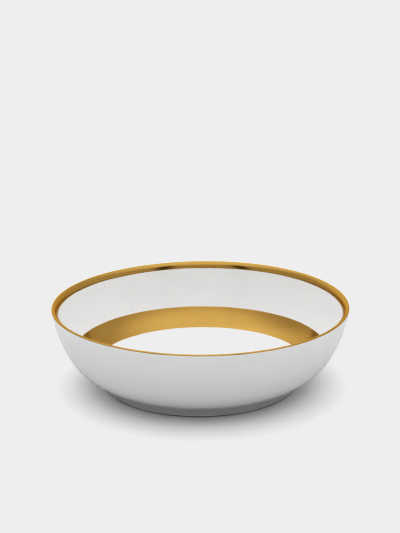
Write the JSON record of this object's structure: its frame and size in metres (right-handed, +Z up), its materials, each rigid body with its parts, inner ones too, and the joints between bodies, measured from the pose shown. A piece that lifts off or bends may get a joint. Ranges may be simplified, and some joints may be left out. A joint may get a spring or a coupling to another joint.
{
  "type": "serving bowl",
  "caption": "Round white porcelain serving bowl on a low foot ring, with a gold band over the lip and a broad gold band round the well.",
  "frame": {"origin": "centre of the circle that the foot ring rests on, at table height", "axes": "+Z up along the bowl's axis of turning, out through its open mouth; X and Y are alike, because the bowl is round"},
  "size_m": [0.25, 0.25, 0.0688],
  "materials": {
    "bare_porcelain": "matte",
    "white_glaze": "gloss",
    "fired_gold": "satin"
  },
  "bodies": {
    "root": {"porcelain_body": "bare_porcelain", "foot_ring": "bare_porcelain", "glaze_coat": "white_glaze", "underside_glaze": "white_glaze", "gold_rim_band": "fired_gold", "gold_well_band": "fired_gold"}
  },
  "joints": []
}
